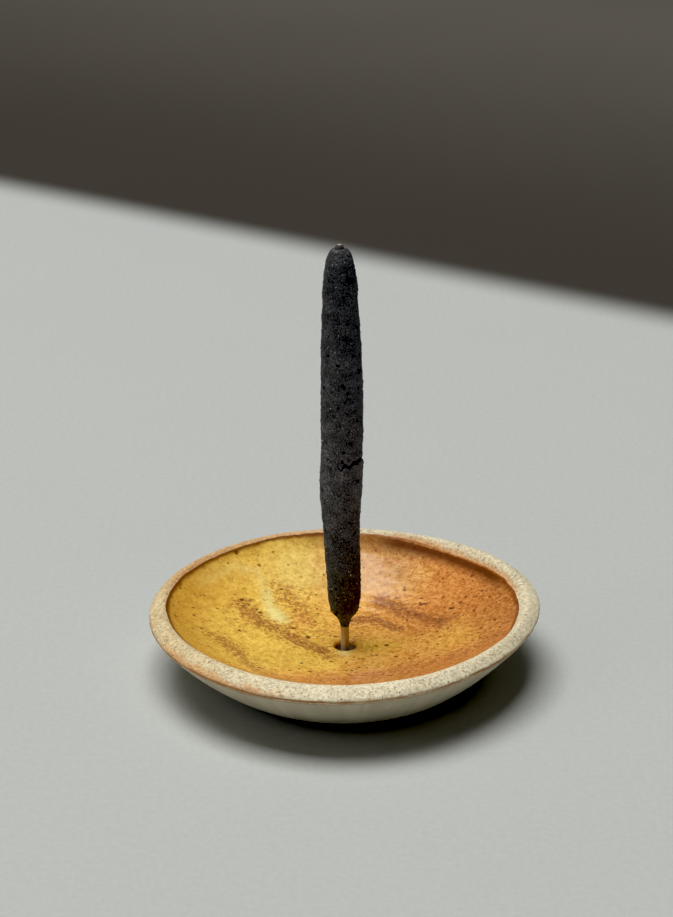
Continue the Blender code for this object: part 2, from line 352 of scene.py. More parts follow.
# =============================================================== node helper
class Mat:
    def __init__(self, name):
        self.m = bpy.data.materials.new(name)
        self.m.use_nodes = True
        self.t = self.m.node_tree
        self.t.nodes.clear()
        self.out = self.t.nodes.new("ShaderNodeOutputMaterial")
        self.bsdf = self.t.nodes.new("ShaderNodeBsdfPrincipled")
        self.t.links.new(self.bsdf.outputs["BSDF"], self.out.inputs["Surface"])
        self._mm = None

    def put(self, socket, value):
        if isinstance(value, bpy.types.NodeSocket):
            self.t.links.new(value, socket)
        elif isinstance(value, (tuple, list)):
            value = tuple(value)
            if len(socket.default_value) == 4 and len(value) == 3:
                value += (1.0,)
            socket.default_value = value
        else:
            socket.default_value = value

    def mm(self):
        """Object coordinates in millimetres."""
        if self._mm is None:
            coord = self.t.nodes.new("ShaderNodeTexCoord")
            self._mm = self.vec("SCALE", coord.outputs["Object"], scale=1000.0)
        return self._mm

    def vec(self, op, a, b=None, scale=None):
        n = self.t.nodes.new("ShaderNodeVectorMath")
        n.operation = op
        self.put(n.inputs[0], a)
        if b is not None:
            self.put(n.inputs[1], b)
        if scale is not None:
            self.put(n.inputs["Scale"], scale)
        return n.outputs["Vector"]

    def noise(self, vector, scale, detail=4.0, rough=0.55, distort=0.0, colour=False):
        n = self.t.nodes.new("ShaderNodeTexNoise")
        self.put(n.inputs["Vector"], vector)
        n.inputs["Scale"].default_value = scale
        n.inputs["Detail"].default_value = detail
        n.inputs["Roughness"].default_value = rough
        n.inputs["Distortion"].default_value = distort
        return n.outputs["Color"] if colour else n.outputs["Fac"]

    def voronoi(self, vector, scale, feature="F1"):
        n = self.t.nodes.new("ShaderNodeTexVoronoi")
        n.feature = feature
        self.put(n.inputs["Vector"], vector)
        n.inputs["Scale"].default_value = scale
        return n.outputs["Distance"], n.outputs["Color"]

    def math(self, op, a, b=0.0, clamp=False):
        n = self.t.nodes.new("ShaderNodeMath")
        n.operation = op
        n.use_clamp = clamp
        self.put(n.inputs[0], a)
        self.put(n.inputs[1], b)
        return n.outputs["Value"]

    def smooth(self, value, lo, hi, to_lo=0.0, to_hi=1.0):
        n = self.t.nodes.new("ShaderNodeMapRange")
        n.interpolation_type = "SMOOTHSTEP"
        self.put(n.inputs["Value"], value)
        self.put(n.inputs["From Min"], lo)
        self.put(n.inputs["From Max"], hi)
        self.put(n.inputs["To Min"], to_lo)
        self.put(n.inputs["To Max"], to_hi)
        return n.outputs["Result"]

    def ramp(self, fac, stops):
        n = self.t.nodes.new("ShaderNodeValToRGB")
        self.put(n.inputs["Fac"], fac)
        ramp = n.color_ramp
        while len(ramp.elements) < len(stops):
            ramp.elements.new(0.5)
        for e, (pos, c) in zip(ramp.elements, stops):
            e.position = pos
            e.color = (*c, 1.0) if isinstance(c, (tuple, list)) else (c, c, c, 1.0)
        return n.outputs["Color"]

    def mix(self, fac, a, b, blend="MIX"):
        n = self.t.nodes.new("ShaderNodeMix")
        n.data_type = "RGBA"
        n.blend_type = blend
        n.clamp_factor = True
        self.put(n.inputs[0], fac)
        self.put(n.inputs[6], a)
        self.put(n.inputs[7], b)
        return n.outputs[2]

    def attr(self, name):
        n = self.t.nodes.new("ShaderNodeAttribute")
        n.attribute_type = "GEOMETRY"
        n.attribute_name = name
        return n.outputs["Fac"]

    def split(self, colour):
        n = self.t.nodes.new("ShaderNodeSeparateColor")
        self.put(n.inputs[0], colour)
        return n.outputs[0], n.outputs[1], n.outputs[2]

    def specks(self, vector, scale, radius, share):
        """Irregular dots: share is how many cells hold one (a number or a socket), radius is in mm."""
        distance, colour = self.voronoi(vector, scale)
        r, g, _ = self.split(colour)
        size = self.math("MULTIPLY_ADD", g, radius * scale * 0.7)
        size.node.inputs[2].default_value = radius * scale * 0.45
        dot = self.math("SUBTRACT", 1.0, self.smooth(distance, self.math("MULTIPLY", size, 0.55), size), clamp=True)
        there = self.math("LESS_THAN", r, share)
        return self.math("MULTIPLY", dot, there)

    def bump(self, height, strength, distance_mm, normal=None):
        n = self.t.nodes.new("ShaderNodeBump")
        n.inputs["Strength"].default_value = strength
        n.inputs["Distance"].default_value = distance_mm * MM
        self.put(n.inputs["Height"], height)
        if normal is not None:
            self.put(n.inputs["Normal"], normal)
        return n.outputs["Normal"]


# =============================================================== clay
def make_clay():
    cols = 720
    a = np.linspace(0, TAU, cols, endpoint=False)[None, :]
    hidden = np.concatenate([[u_near(3.3, 6.4)], np.linspace(u_near(6, 6.4), U_LINE - 2.5, 18)])
    near_line = np.linspace(U_LINE - 2.2, U_LINE - 0.7, 5)
    lip = np.arange(U_LINE - 0.45, U_UNDER + 0.5, 0.27)
    under = np.linspace(U_UNDER + 0.7, U_FOOT - 0.8, 16)
    foot = np.linspace(U_FOOT - 0.5, U_BASE, 16)
    u = np.concatenate([hidden, near_line, lip, under, foot])
    covered_in = smooth(U_LINE - 0.25, U_LINE - 1.6, u) * 0.3
    covered_out = smooth(U_UNDER + 0.1, U_UNDER + 1.0, u) * (1 - smooth(U_FOOT - 1.2, U_FOOT - 0.2, u)) * 0.25
    depth = -(covered_in + covered_out)
    r, z = skin(u, depth)
    outside = u > U_CORNER
    # the socket: bottom, parallel part and countersink
    socket_r = np.array([1.25, 1.25, 1.25, 1.62, 2.05, 2.4, 2.8])
    socket_z = np.array([1.7, 2.6, 3.5, 4.05, 4.65, 5.15, 5.6])
    # the base: flat, with shallow trimming rings
    base_r = np.linspace(24.0, 0.8, 40)
    base_z = 0.05 * np.clip(np.sin(base_r * 2.6), 0.35, 1) - 0.05 * 0.35
    base_z[0:2] = 0
    rr = np.concatenate([socket_r, r, base_r])[:, None] + 0 * a
    zz = np.concatenate([socket_z, z, base_z])[:, None] + 0 * a
    flag = np.concatenate([np.zeros(len(socket_r), bool), outside, np.ones(len(base_r), bool)])[:, None]
    uu = np.concatenate([np.full(len(socket_r), -1.0), u, np.full(len(base_r), U_BASE + 1)])[:, None] + 0 * a
    wr, wz = warp(rr, zz, a + 0 * rr, flag)
    x, y = wr * np.cos(a), wr * np.sin(a)
    # the bare land is gritty: grog stands proud, and small pits are left where grains pulled out
    past = uu - glaze_edge(a)
    bare = smooth(-0.1, 0.35, past) * (1 - smooth(U_UNDER, U_UNDER + 0.6, uu))
    bare = np.maximum(bare, smooth(U_FOOT - 0.8, U_FOOT, uu) * (uu <= U_BASE))
    grit = 0.07 * fbm(x, y, wz, 1.1, 2, seed=3) + 0.05 * vnoise(x, y, wz, 0.5, seed=8) - 0.03
    d, rnd = cells(x, y, wz, 1.5, seed=21)
    pits = -0.16 * (1 - smooth(0.12, 0.26, d)) * (rnd > 0.55)
    grog = 0.09 * (1 - smooth(0.10, 0.24, d)) * (rnd < 0.25)
    slow = 0.10 * fbm(x, y, wz, 9.0, 2, seed=5) * smooth(U_LINE - 1.0, U_LINE + 1.5, uu) * (1 - smooth(U_UNDER - 1.0, U_UNDER + 1, uu))
    h = bare * (grit + pits + grog) + slow
    nr = np.interp(uu, SKIN_U, SKIN_N[:, 0])
    nz = np.interp(uu, SKIN_U, SKIN_N[:, 1])
    h = h * (uu > 0) * (uu <= U_BASE - 0.6)
    wr, wz = wr + nr * h, wz + nz * h
    wz = np.maximum(wz, 0.0)
    x, y = wr * np.cos(a), wr * np.sin(a)
    o = grid_mesh("stoneware_body", x, y, wz, False, pole_start=(0, 0, 1.62), pole_end=(0, 0, 0.0))
    # where iron from the clay has bled along the outer corner
    wander = 0.25 * vnoise(np.cos(a) * 45, np.sin(a) * 45, 0 * a, 5.0, seed=31)
    line = np.exp(-(((uu - (U_CORNER - 0.05 + wander)) / 0.36) ** 2))
    strength = 0.75 + 0.35 * vnoise(np.cos(a) * 45, np.sin(a) * 45, 0 * a, 3.0, seed=33)
    paint(o, "iron", line * np.clip(strength, 0, 1), 2)
    # orange flashing: strongest on the outer half of the land at the front left
    across = (uu - glaze_edge(a)) / (U_CORNER - glaze_edge(a))
    blotch = fbm(x, y, wz, 3.5, 4, seed=41)
    front_left = angle_band(a, 203, 251, 12) * smooth(0.45, 0.95, across + 0.28 * blotch)
    left = angle_band(a, 120, 215, 20) * (0.35 + 0.3 * blotch) * smooth(0.1, 1.0, across)
    back_inner = angle_band(a, 94, 168, 13) * (1 - smooth(0.25, 1.05, across + 0.25 * blotch)) * 0.85
    under_edge = angle_band(a, 170, 380, 30) * smooth(0.78, 1.05, across + 0.1 * blotch) * 0.55
    right_inner = angle_band(a, 10, 75, 10) * (1 - smooth(0.0, 0.25, across + 0.1 * blotch)) * 0.9
    flash = np.clip(np.maximum.reduce([front_left, left + 0 * uu, back_inner, under_edge, right_inner]), 0, 1)
    paint(o, "flash", flash * smooth(-0.9, -0.4, past) * (uu < U_UNDER + 0.5), 2)
    warm = angle_band(a, 110, 235, 30) * 0.8 + 0 * uu
    paint(o, "warm", np.clip(warm + 0.25 * blotch, 0, 1), 2)
    paint(o, "front", angle_band(a, 236, 300, 26) + 0 * uu, 2)
    # painted shade in the socket: the upper part of its wall is painted near-black brown in full, the lower part at
    # half strength
    paint(o, "socket_painted_shade", ((uu < 0) & (zz > 3.0)) * 0.5 + (uu < 0) * 0.5, 2)

    m = Mat("stoneware_clay")
    v = m.mm()
    jitter = m.vec("ADD", v, m.vec("SCALE", m.vec("SUBTRACT", m.noise(v, 3.0, 2, colour=True), (0.5, 0.5, 0.5)), scale=0.22))
    base = m.mix(m.attr("warm"), (0.94, 0.855, 0.62), (0.90, 0.73, 0.42))
    base = m.mix(m.attr("front"), m.mix(1.0, base, (0.90, 0.895, 0.88), "MULTIPLY"), base)
    tone = m.noise(v, 0.16, 4, 0.6)
    base = m.mix(1.0, base, m.ramp(tone, [(0.3, 0.90), (0.7, 1.08)]), "MULTIPLY")
    sand = m.noise(v, 1.45, 6, 0.82)
    base = m.mix(1.0, base, m.ramp(sand, [(0.34, (0.32, 0.27, 0.22)), (0.46, (0.84, 0.80, 0.76)), (0.54, (1.04, 1.04, 1.04)), (0.66, (1.22, 1.23, 1.26))]), "MULTIPLY")
    blot = m.smooth(m.noise(v, 0.8, 5, 0.72), 0.54, 0.68)
    base = m.mix(m.math("MULTIPLY", blot, 0.36), base, (0.50, 0.41, 0.27))
    light = m.specks(jitter, 1.6, 0.22, 0.42)
    base = m.mix(m.math("MULTIPLY", light, 0.75), base, (0.95, 0.92, 0.80))
    fine = m.specks(jitter, 1.45, 0.21, 0.50)
    base = m.mix(m.math("MULTIPLY", fine, 0.80), base, (0.27, 0.22, 0.15))
    big = m.specks(jitter, 0.62, 0.32, 0.30)
    base = m.mix(m.math("MULTIPLY", big, 0.8), base, (0.20, 0.14, 0.09))
    base = m.mix(m.math("MULTIPLY", m.smooth(m.attr("flash"), 0.05, 0.95), 0.72), base, m.mix(1.0, (0.80, 0.42, 0.16), m.ramp(sand, [(0.36, 0.55), (0.64, 1.15)]), "MULTIPLY"))
    ironed = m.smooth(m.math("ADD", m.attr("iron"), m.math("MULTIPLY", m.math("SUBTRACT", sand, 0.5), 0.9)), 0.25, 0.85)
    base = m.mix(m.math("MULTIPLY", ironed, 0.85), base, (0.47, 0.21, 0.075))
    # the painted shade in the socket
    base = m.mix(m.math("MULTIPLY", m.attr("socket_painted_shade"), 0.9), base, (0.12, 0.08, 0.05))
    m.put(m.bsdf.inputs["Base Color"], base)
    m.put(m.bsdf.inputs["Roughness"], m.smooth(sand, 0.3, 0.7, 0.95, 0.80))
    m.bsdf.inputs["Specular IOR Level"].default_value = 0.28
    height = m.math("ADD", m.math("MULTIPLY", sand, 0.9), m.math("SUBTRACT", m.math("MULTIPLY", light, 0.35), m.math("MULTIPLY", fine, 0.45)))
    m.put(m.bsdf.inputs["Normal"], m.bump(height, 0.75, 0.09))
    o.data.materials.append(m.m)
    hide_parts("dish_body")
    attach(o, "dish")
    return o


# =============================================================== inner glaze
HOOK = [(-34.8, 18.1), (-31.4, 23.7), (-26.8, 27.6), (-21.9, 27.9), (-19.9, 25.3), (-19.1, 21.3), (-18.5, 17.0), (-17.2, 13.3), (-15.0, 10.5)]


def glaze_relief(x, y, r, a):
    """Height of the coat over the true well, in mm: throwing rings, a soft ring near the middle, pooling."""
    spiral = np.sin(TAU * (r / 3.4 - a / TAU)) * smooth(9, 15, r) * (1 - smooth(33, 38, r))
    ring = np.exp(-(((r - 19.0 - 0.8 * np.cos(a - 2.0)) / 1.9) ** 2))
    slow = fbm(x, y, 0 * x, 13.0, 3, seed=61)
    orange_peel = vnoise(x, y, 0 * x, 1.6, seed=63)
    hook = stroke(x, y, HOOK, 1.5) * smooth(38.5, 35, r)
    drop = blob(x, y, -16.2, 11.8, 2.3)
    return 0.20 * hook + 0.14 * drop + 0.016 * spiral + 0.04 * ring + 0.10 * slow * smooth(5, 12, r) + 0.006 * orange_peel


def make_inner_glaze():
    cols = 640
    a = np.linspace(0, TAU, cols, endpoint=False)[None, :]
    ca, sa = np.cos(a), np.sin(a)
    edge_u = glaze_edge(a)
    s = np.concatenate([np.arange(0.0, 2.4, 0.14), np.arange(2.4, 36.5, 0.34), np.linspace(36.7, 0, 1)[:0]])
    total = U_LINE + 0.1
    s = s[s < total - 2.2]
    tail = total - np.array([2.0, 1.7, 1.4, 1.15, 0.95, 0.78, 0.62, 0.48, 0.36, 0.26, 0.17, 0.09, 0.0])
    rows = np.concatenate([s, tail])[:, None]
    u = rows * (1 - smooth(total - 8, total, rows)) + (rows + (edge_u - total)) * smooth(total - 8, total, rows)
    left = edge_u - u  # distance from the coat's edge
    roll = 0.15 * smooth(0.0, 0.42, left) * (1 - 0.55 * smooth(0.6, 3.0, left)) - 0.07
    roll = roll * smooth(30, 38, u) + 0.0
    x0, z0 = skin(u)
    h = roll + glaze_relief(x0 * ca, x0 * sa, x0, a) * smooth(1.5, 4.0, u) * smooth(0.3, 3.0, left)
    r, z = skin(u, h)
    # the back of the coat lies in the clay
    back_rows = np.concatenate([total - np.array([0.3, 1.2]), np.linspace(total - 4, 2.6, 12), [1.4]])[:, None] + 0 * a
    br, bz = skin(back_rows, -0.42)
    r_all, z_all = np.concatenate([r, br]), np.concatenate([z, bz])
    wr, wz = warp(r_all, z_all, a + 0 * r_all, np.zeros((len(r_all), 1), bool))
    x, y = wr * ca, wr * sa
    o = grid_mesh("amber_glaze_coat", x, y, wz, True)
    n_back = len(back_rows) * cols

    # ---- how the colour lies on the coat
    n = len(rows)
    x, y, rr, ll = x[:n], y[:n], wr[:n], left + 0 * ca
    swirl = fbm(x, y, 0 * x, 9.0, 4, seed=81)
    fine = fbm(x, y, 0 * x, 2.6, 4, seed=83)
    xs, ys = x + 2.2 * swirl, y + 2.2 * fbm(x, y, 0 * x, 7.0, 3, seed=85)
    orange = smooth(-14, 24, xs + 0.10 * ys)
    orange = np.maximum(orange, smooth(-9.5, -21, ys - 0.4 * xs) * 0.97)
    orange = orange * (1 - 0.55 * blob(xs, ys, 24, -3, 8)) * (1 - 0.45 * blob(xs, ys, 8, -2, 7)) * (1 - 0.3 * blob(xs, ys, 15, 25, 7))
    orange = np.maximum(orange, 0.42 * blob(xs, ys, -9, 11, 4.5))
    paint(o, "tone", np.concatenate([np.clip(orange, 0, 1).reshape(-1), np.zeros(n_back)]))
    rust = 0.85 * stroke(xs, ys, [(-24, 15), (-22.5, 11.5), (-20, 8), (-16.5, 5.2), (-11, 2.0), (-7, -1.5), (-4, -4.5)], 3.3)
    rust = np.maximum(rust, 0.95 * stroke(xs, ys, [(-13, 3.0), (-8.0, -0.6), (-4.6, -4.0)], 3.0))
    rust = np.maximum(rust, 0.45 * stroke(xs, ys, [(0.4, -9), (1.0, -14), (3.0, -21)], 2.2))
    rust = np.maximum(rust, 1.0 * stroke(xs, ys, [(2.5, 13.2), (7.0, 11.2), (12.5, 7.8)], 2.3))
    rust = np.maximum(rust, 1.0 * stroke(xs, ys, [(9.5, 19.5), (13.5, 15.6), (17, 12.8), (20.5, 10.2), (23.5, 7.5)], 3.0))
    rust = np.maximum(rust, 0.75 * stroke(xs, ys, [(-30, -5), (-26, -10), (-20, -20), (-12, -28), (0, -34)], 3.4))
    rust = np.maximum(rust, 0.65 * stroke(xs, ys, [(-14.5, 24), (-12.5, 19), (-9.5, 14)], 4.0))
    rust = np.maximum(rust, 0.5 * stroke(xs, ys, [(-9.5, 14), (-6.0, 7.5), (-3, 2)], 3.5))
    rust = np.maximum(rust, 0.5 * stroke(xs, ys, [(-22, 10), (-14, 8), (-8, 4), (3, 6)], 5.0))
    rust = np.maximum(rust, 0.45 * smooth(30, 37, np.hypot(xs, ys)) * angle_band(a, 195, 262, 14))
    rust = np.maximum(rust, 0.45 * smooth(24, 34, xs))
    rust = np.maximum(rust, 0.55 * smooth(-13, -24, ys - 0.3 * xs))
    rust = np.maximum(rust, 0.85 * smooth(29, 35, np.hypot(x, y)) * angle_band(a, 216, 275, 14))
    # painted highlight: the hook of reflected light on the left wall (also raised there as a ridge in the relief) and
    # the glint just in front of the socket are painted into the colour as pale glaze; a broad paler patch lies at the
    # back left
    pale = np.maximum(0.38 * stroke(x, y, HOOK, 1.7), 1.0 * blob(x, y, -16.4, 12.2, 2.2))
    pale = np.maximum(pale, 0.72 * stroke(x, y, [(-19.0, 21.0), (-18.3, 16.5), (-16.5, 12.5)], 1.5))
    pale = np.maximum(pale, 1.0 * stroke(x, y, [(-17.4, 14.2), (-15.2, 10.8)], 1.9))
    pale = np.maximum(pale, 0.9 * blob(x, y, -0.2, -4.1, 1.5))
    pale = np.maximum(pale, 0.35 * blob(xs, ys, -12, 31, 8))
    paint(o, "pale", np.concatenate([np.clip(pale, 0, 1).reshape(-1), np.zeros(n_back)]))
    # painted shade on the left wall below the rim
    shade = smooth(27, 38.5, rr) * angle_band(a + 0 * x, 140, 232, 22)
    paint(o, "shade", np.concatenate([np.clip(shade, 0, 1).reshape(-1), np.zeros(n_back)]))
    dull = np.exp(-(((x - 6) / 13.0) ** 4)) * smooth(18.5, 27.5, y)
    paint(o, "dull", np.concatenate([np.clip(dull, 0, 1).reshape(-1), np.zeros(n_back)]))
    # painted shadow of the stick: a yellow-green darkening just right of the socket
    stick_shadow_paint = np.exp(-(((x - 7.5) / 5.2) ** 2)) * np.exp(-(((y + 1.0) / 3.2) ** 2))
    paint(o, "stick_shadow_paint", np.concatenate([np.clip(stick_shadow_paint, 0, 1).reshape(-1), np.zeros(n_back)]))
    paint(o, "rust", np.concatenate([np.clip(rust, 0, 1).reshape(-1), np.zeros(n_back)]))
    crowd = 0.9 * stroke(xs, ys, [(-24, 15), (-21, 9), (-17, 5.5)], 3.2)
    crowd = np.maximum(crowd, 0.9 * stroke(xs, ys, [(-28.5, -6), (-25, -11), (-18, -20)], 3.6))
    crowd = np.maximum(crowd, 0.8 * blob(xs, ys, -13.5, 18, 4.5))
    crowd = np.maximum(crowd, 0.7 * blob(xs, ys, 22, 25, 5))
    crowd = np.maximum(crowd, 0.75 * blob(xs, ys, 29, 13, 6))
    crowd = np.maximum(crowd, 0.85 * smooth(-3, -15, ys - 0.25 * xs))
    crowd = np.maximum(crowd, 0.5 * smooth(8, 20, xs))
    paint(o, "crowd", np.concatenate([np.clip(crowd, 0, 1).reshape(-1), np.zeros(n_back)]))
    aa = a + 0 * x
    line = np.maximum(angle_band(aa, 88, 212, 10), 0.75 * angle_band(aa, -28, 30, 10))
    line = np.maximum(line, 0.20)
    edge = line * (1 - smooth(0.6, 1.75 + 0.6 * fine, ll))
    paint(o, "edge", np.concatenate([np.clip(edge, 0, 1).reshape(-1), np.zeros(n_back)]))
    width = 2.9 + 0.9 * fine
    # painted shade and painted dark reflection on the steep inner wall at the right back: a brown-black strip just
    # inside the coat's edge, weaker farther round towards the back
    dark_rim_shade = angle_band(aa, 20, 80, 10) * (1 - smooth(width * 0.70, width * 1.35, ll)) * smooth(0.35, 0.85, ll)
    halo = 0.5 * angle_band(aa, 64, 104, 12) * (1 - smooth(width * 0.9, width * 1.5, ll))
    paint(o, "dark_rim_shade", np.concatenate([np.clip(np.maximum(dark_rim_shade, halo), 0, 1).reshape(-1), np.zeros(n_back)]))
    thin = angle_band(aa, 10, 95, 12) * (1 - smooth(0.15, 0.5, ll))
    paint(o, "thin", np.concatenate([np.clip(thin, 0, 1).reshape(-1), np.zeros(n_back)]))

    m = Mat("amber_glaze")
    v = m.mm()
    warped = m.vec("ADD", v, m.vec("SCALE", m.vec("SUBTRACT", m.noise(v, 1.7, 3, colour=True), (0.5, 0.5, 0.5)), scale=0.55))
    cloud = m.noise(v, 0.11, 5, 0.6, 0.6)
    tone = m.math("ADD", m.attr("tone"), m.math("MULTIPLY", m.math("SUBTRACT", cloud, 0.5), 0.55), clamp=True)
    base = m.ramp(tone, [(0.0, (0.98, 0.645, 0.125)), (0.40, (0.96, 0.535, 0.12)), (1.0, (0.75, 0.325, 0.090))])
    # the painted highlights, as pale glaze
    base = m.mix(m.math("MULTIPLY", m.attr("pale"), 0.92), base, (1.0, 0.90, 0.36))
    # the painted shadow of the stick
    base = m.mix(m.math("MULTIPLY", m.attr("stick_shadow_paint"), 0.4), base, (0.62, 0.42, 0.04))
    # the painted shade on the left wall
    base = m.mix(m.math("MULTIPLY", m.attr("shade"), 0.62), base, (0.66, 0.32, 0.045))
    base = m.mix(m.math("MULTIPLY", m.attr("dull"), 0.6), base, (0.62, 0.35, 0.12))
    # specks and mottling are kept off the painted highlights and, in part, off the painted shade on the left wall
    calm = m.math("SUBTRACT", 1.0, m.math("MULTIPLY", m.math("ADD", m.attr("pale"), m.math("MULTIPLY", m.attr("shade"), 0.35)), 0.85), clamp=True)
    patches = m.noise(v, 0.42, 6, 0.66, 0.8)
    base = m.mix(calm, base, m.mix(1.0, base, m.ramp(patches, [(0.32, (0.76, 0.68, 0.62)), (0.5, (1.0, 1.0, 1.0)), (0.68, (1.10, 1.16, 1.22))]), "MULTIPLY"))
    mott = m.noise(warped, 0.95, 7, 0.80)
    lively = m.math("MULTIPLY", calm, m.math("ADD", m.math("MULTIPLY", tone, 0.45), 0.55))
    base = m.mix(lively, base, m.mix(1.0, base, m.ramp(mott, [(0.36, (0.52, 0.32, 0.28)), (0.455, (0.88, 0.76, 0.72)), (0.54, (1.03, 1.03, 1.03)), (0.64, (1.16, 1.42, 2.0))]), "MULTIPLY"))
    rusty = m.smooth(m.math("ADD", m.noise(warped, 1.0, 6, 0.78, 0.3), m.math("MULTIPLY", m.attr("rust"), 0.195)), 0.56, 0.69)
    base = m.mix(m.math("MULTIPLY", m.math("MULTIPLY", rusty, calm), 0.80), base, (0.41, 0.15, 0.05))
    core = m.smooth(m.math("ADD", m.noise(warped, 1.3, 5, 0.7), m.math("MULTIPLY", m.attr("rust"), 0.2)), 0.66, 0.80)
    base = m.mix(m.math("MULTIPLY", core, 0.65), base, (0.20, 0.075, 0.035))
    crowd_s = m.attr("crowd")
    flecks = m.specks(warped, 1.0, 0.30, 0.34)
    base = m.mix(m.math("MULTIPLY", m.math("MULTIPLY", flecks, calm), 0.5), base, (0.96, 0.62, 0.17))
    tiny = m.specks(warped, 1.1, 0.28, m.math("ADD", m.math("MULTIPLY", crowd_s, 0.55), 0.24))
    base = m.mix(m.math("MULTIPLY", m.math("MULTIPLY", tiny, calm), 0.76), base, (0.26, 0.095, 0.03))
    mid = m.math("MULTIPLY", m.specks(warped, 0.56, 0.50, m.math("ADD", m.math("MULTIPLY", crowd_s, 0.62), 0.32)), calm)
    base = m.mix(m.math("MULTIPLY", mid, 0.84), base, (0.14, 0.05, 0.02))
    few = m.math("MULTIPLY", m.specks(warped, 0.22, 0.78, 0.75), calm)
    base = m.mix(m.math("MULTIPLY", few, 0.85), base, (0.12, 0.045, 0.02))
    # the painted shade under the right rim
    base = m.mix(m.math("MULTIPLY", m.attr("dark_rim_shade"), 0.94), base, m.mix(m.noise(v, 0.5, 3), (0.11, 0.034, 0.014), (0.19, 0.068, 0.028)))
    base = m.mix(m.math("MULTIPLY", m.attr("edge"), 0.88), base, (0.17, 0.045, 0.015))
    base = m.mix(m.math("MULTIPLY", m.attr("thin"), 0.7), base, (0.42, 0.14, 0.035))
    m.put(m.bsdf.inputs["Base Color"], base)
    m.put(m.bsdf.inputs["Roughness"], m.smooth(patches, 0.3, 0.7, 0.17, 0.26))
    m.bsdf.inputs["IOR"].default_value = 1.52
    pin = m.specks(warped, 0.9, 0.12, 0.2)
    height = m.math("SUBTRACT", m.math("MULTIPLY", m.noise(v, 0.9, 3, 0.5), 1.0), m.math("MULTIPLY", m.math("ADD", mid, pin), 0.35))
    m.put(m.bsdf.inputs["Normal"], m.bump(height, 0.35, 0.06))
    o.data.materials.append(m.m)
    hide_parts("inner_glaze")
    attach(o, "dish")
    return o


# =============================================================== outer glaze
def make_outer_glaze():
    cols = 600
    a = np.linspace(0, TAU, cols, endpoint=False)[None, :]
    ca, sa = np.cos(a), np.sin(a)
    top = U_UNDER + 0.15 + 0.22 * vnoise(ca * 45, sa * 45, 0 * a, 4.5, seed=91) + 0.10 * vnoise(ca * 45, sa * 45, 0 * a, 1.2, seed=93)
    foot = U_FOOT - 0.35 + 0.5 * vnoise(ca * 28, sa * 28, 0 * a, 7.0, seed=95) + 0.15 * vnoise(ca * 28, sa * 28, 0 * a, 1.5, seed=97)
    t = np.concatenate([[0, 0.004, 0.009, 0.015, 0.022, 0.032, 0.045], np.linspace(0.06, 0.95, 56), [0.965, 0.975, 0.983, 0.99, 0.995, 1.0]])[:, None]
    u = top + t * (foot - top)
    from_top, from_foot = u - top, foot - u
    roll = 0.17 * smooth(0, 0.5, np.minimum(from_top, from_foot)) - 0.06
    roll = roll + 0.10 * np.exp(-(((from_foot - 1.0) / 0.9) ** 2))  # the coat gathers in a low roll over the foot
    r0, z0 = skin(u)
    turning = 0.025 * np.sin(TAU * (u / 2.3 - a / TAU))
    slow = 0.09 * fbm(r0 * ca, r0 * sa, z0, 11.0, 3, seed=99)
    brush = 0.012 * vnoise(a * 45 / 0.8, 0 * u, u / 9.0, 1.0, seed=101)
    h = roll + (turning + slow + brush) * smooth(0.2, 2.0, np.minimum(from_top, from_foot))
    r, z = skin(u, h)
    back = (top + np.linspace(0.92, 0.08, 14)[:, None] * (foot - top))
    br, bz = skin(back, -0.4)
    r_all, z_all = np.concatenate([r, br]), np.concatenate([z, bz])
    wr, wz = warp(r_all, z_all, a + 0 * r_all, np.ones((len(r_all), 1), bool))
    o = grid_mesh("pale_glaze_coat", wr * ca, wr * sa, wz, True)
    nb = 14 * cols
    thin = np.exp(-((from_top / 0.55) ** 2)) + 0.7 * np.exp(-((from_foot / 0.6) ** 2))
    paint(o, "thin", np.concatenate([np.clip(thin, 0, 1).reshape(-1), np.zeros(nb)]))
    stripe = 0.5 + 0.5 * vnoise(a * 45 / 1.1 + 0 * u, 0 * u, u / 22.0, 1.0, seed=103)
    wide = 0.5 + 0.5 * vnoise(a * 45 / 3.7 + 0 * u, 0 * u, u / 40.0, 1.0, seed=105)
    paint(o, "streak", np.concatenate([(0.55 * stripe + 0.45 * wide).reshape(-1), np.zeros(nb)]))

    m = Mat("pale_glaze")
    v = m.mm()
    base = m.mix(m.noise(v, 0.13, 4, 0.6), (0.62, 0.555, 0.40), (0.70, 0.62, 0.44))
    base = m.mix(1.0, base, m.ramp(m.attr("streak"), [(0.2, 0.88), (0.8, 1.07)]), "MULTIPLY")
    grain = m.noise(v, 2.6, 5, 0.7)
    base = m.mix(1.0, base, m.ramp(grain, [(0.3, 0.93), (0.7, 1.05)]), "MULTIPLY")
    dots = m.specks(v, 0.9, 0.14, 0.3)
    base = m.mix(m.math("MULTIPLY", dots, 0.4), base, (0.26, 0.21, 0.14))
    breaks = m.smooth(m.math("ADD", m.attr("thin"), m.math("MULTIPLY", m.math("SUBTRACT", grain, 0.5), 0.8)), 0.35, 0.95)
    base = m.mix(m.math("MULTIPLY", breaks, 0.65), base, (0.38, 0.20, 0.09))
    m.put(m.bsdf.inputs["Base Color"], base)
    m.put(m.bsdf.inputs["Roughness"], m.smooth(grain, 0.3, 0.7, 0.36, 0.50))
    m.put(m.bsdf.inputs["Normal"], m.bump(grain, 0.25, 0.05))
    o.data.materials.append(m.m)
    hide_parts("outer_glaze")
    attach(o, "dish")
    return o


# =============================================================== the stick
CORE_BOTTOM_Z = 2.0
CORE_TOP_Z = 104.1
LEAN = math.radians(0.8)
LEAN_MATRIX = Matrix.Translation((0, 0, CORE_BOTTOM_Z * MM)) @ Matrix.Rotation(-LEAN, 4, "Y") @ Matrix.Translation((0, 0, -CORE_BOTTOM_Z * MM))


